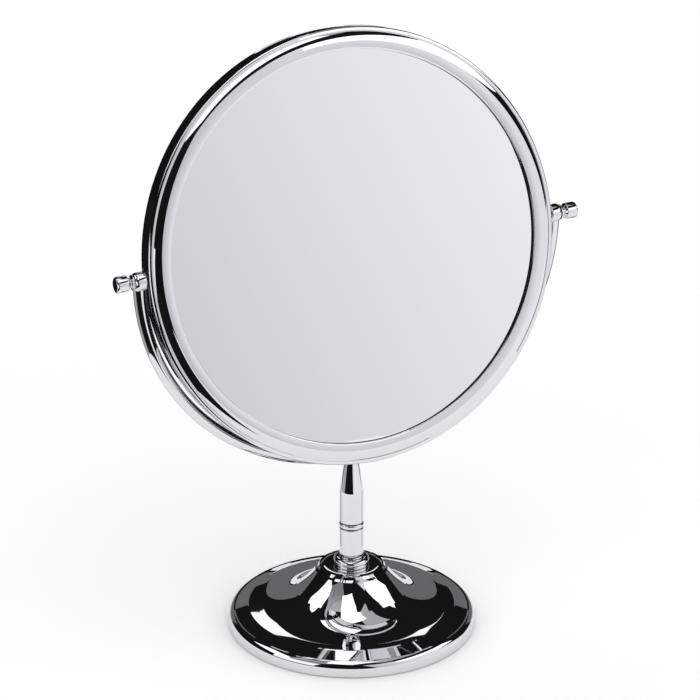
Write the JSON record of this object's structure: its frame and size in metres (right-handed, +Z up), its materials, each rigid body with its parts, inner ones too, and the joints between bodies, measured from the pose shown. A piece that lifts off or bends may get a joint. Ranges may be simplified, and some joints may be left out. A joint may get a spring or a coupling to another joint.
{
  "type": "extendable shaving mirror",
  "caption": "Round two-sided swivel mirror in a half-ring yoke on a short telescopic stem and a weighted bell-shaped foot.",
  "frame": {"origin": "centre of the foot's underside, on the surface that it stands on", "axes": "+Z up along the stem, X along the tilt pivots, the plain glass faces -Y and leans back"},
  "size_m": [0.255, 0.1296, 0.3211],
  "materials": {
    "chrome_shell": "polished chromium plate on spun steel",
    "chrome_brass": "polished chromium plate on turned brass",
    "chrome_steel": "polished chromium plate on steel",
    "iron": "as cast",
    "steel_plate": "zinc plated",
    "steel_tube": "bright drawn",
    "brass_insert": "turned",
    "foam_pad": "closed-cell foam rubber",
    "foam_backing": "foam",
    "nylon": "natural nylon",
    "black_nylon": "black nylon washer",
    "carrier_plastic": "moulded",
    "rubber": "extruded black",
    "mirror_plain": "back-silvered float glass",
    "mirror_dished": "back-silvered sagged glass"
  },
  "bodies": {
    "foot": {"base_shell": "chrome_shell", "base_weight": "iron", "base_plate": "steel_plate", "base_pad": "foam_pad", "collar_socket": "chrome_brass", "clamp_washer": "steel_plate", "clamp_nut": "steel_plate", "outer_tube": "chrome_brass", "joint_ring": "chrome_brass", "guide_bush": "nylon"},
    "glide": {"glide_bush": "nylon"},
    "head": {"inner_tube": "steel_tube", "end_stop": "steel_plate", "upper_sleeve": "chrome_brass", "yoke_rod": "chrome_steel", "yoke_eye_left": "chrome_brass", "yoke_eye_right": "chrome_brass"},
    "mirror": {"frame_band": "chrome_steel", "inner_carrier": "carrier_plastic", "front_bezel": "chrome_steel", "rear_bezel": "chrome_steel", "front_gasket": "rubber", "rear_gasket": "rubber", "plain_glass": "mirror_plain", "dished_glass": "mirror_dished", "backing_sheet": "foam_backing", "spacer_ring": "foam_backing", "pivot_insert_left": "brass_insert", "pivot_insert_right": "brass_insert", "slip_washer_left": "black_nylon", "slip_washer_right": "black_nylon"},
    "knob_left": {"thumb_knob_left": "chrome_brass", "pivot_screw_left": "steel_plate", "spring_washer_left": "steel_plate"},
    "knob_right": {"thumb_knob_right": "chrome_brass", "pivot_screw_right": "steel_plate", "spring_washer_right": "steel_plate"}
  },
  "joints": [
    {"name": "stem_extend", "type": "slide", "parent": "foot", "child": "glide", "axis": [0, 0, 1], "range_m": [0, 0.0315]},
    {"name": "stem_swivel", "type": "hinge", "parent": "glide", "child": "head", "pos_m": [0, 0, 0.03], "axis": [0, 0, 1], "continuous": true},
    {"name": "mirror_tilt", "type": "hinge", "parent": "head", "child": "mirror", "pos_m": [0, 0, 0.2112], "axis": [1, 0, 0], "continuous": true},
    {"name": "knob_left_turn", "type": "hinge", "parent": "mirror", "child": "knob_left", "pos_m": [-0.1245, 0, 0.2112], "axis": [-1, 0, 0], "range_deg": [0, 180]},
    {"name": "knob_right_turn", "type": "hinge", "parent": "mirror", "child": "knob_right", "pos_m": [0.1245, 0, 0.2112], "axis": [1, 0, 0], "range_deg": [0, 180]}
  ]
}
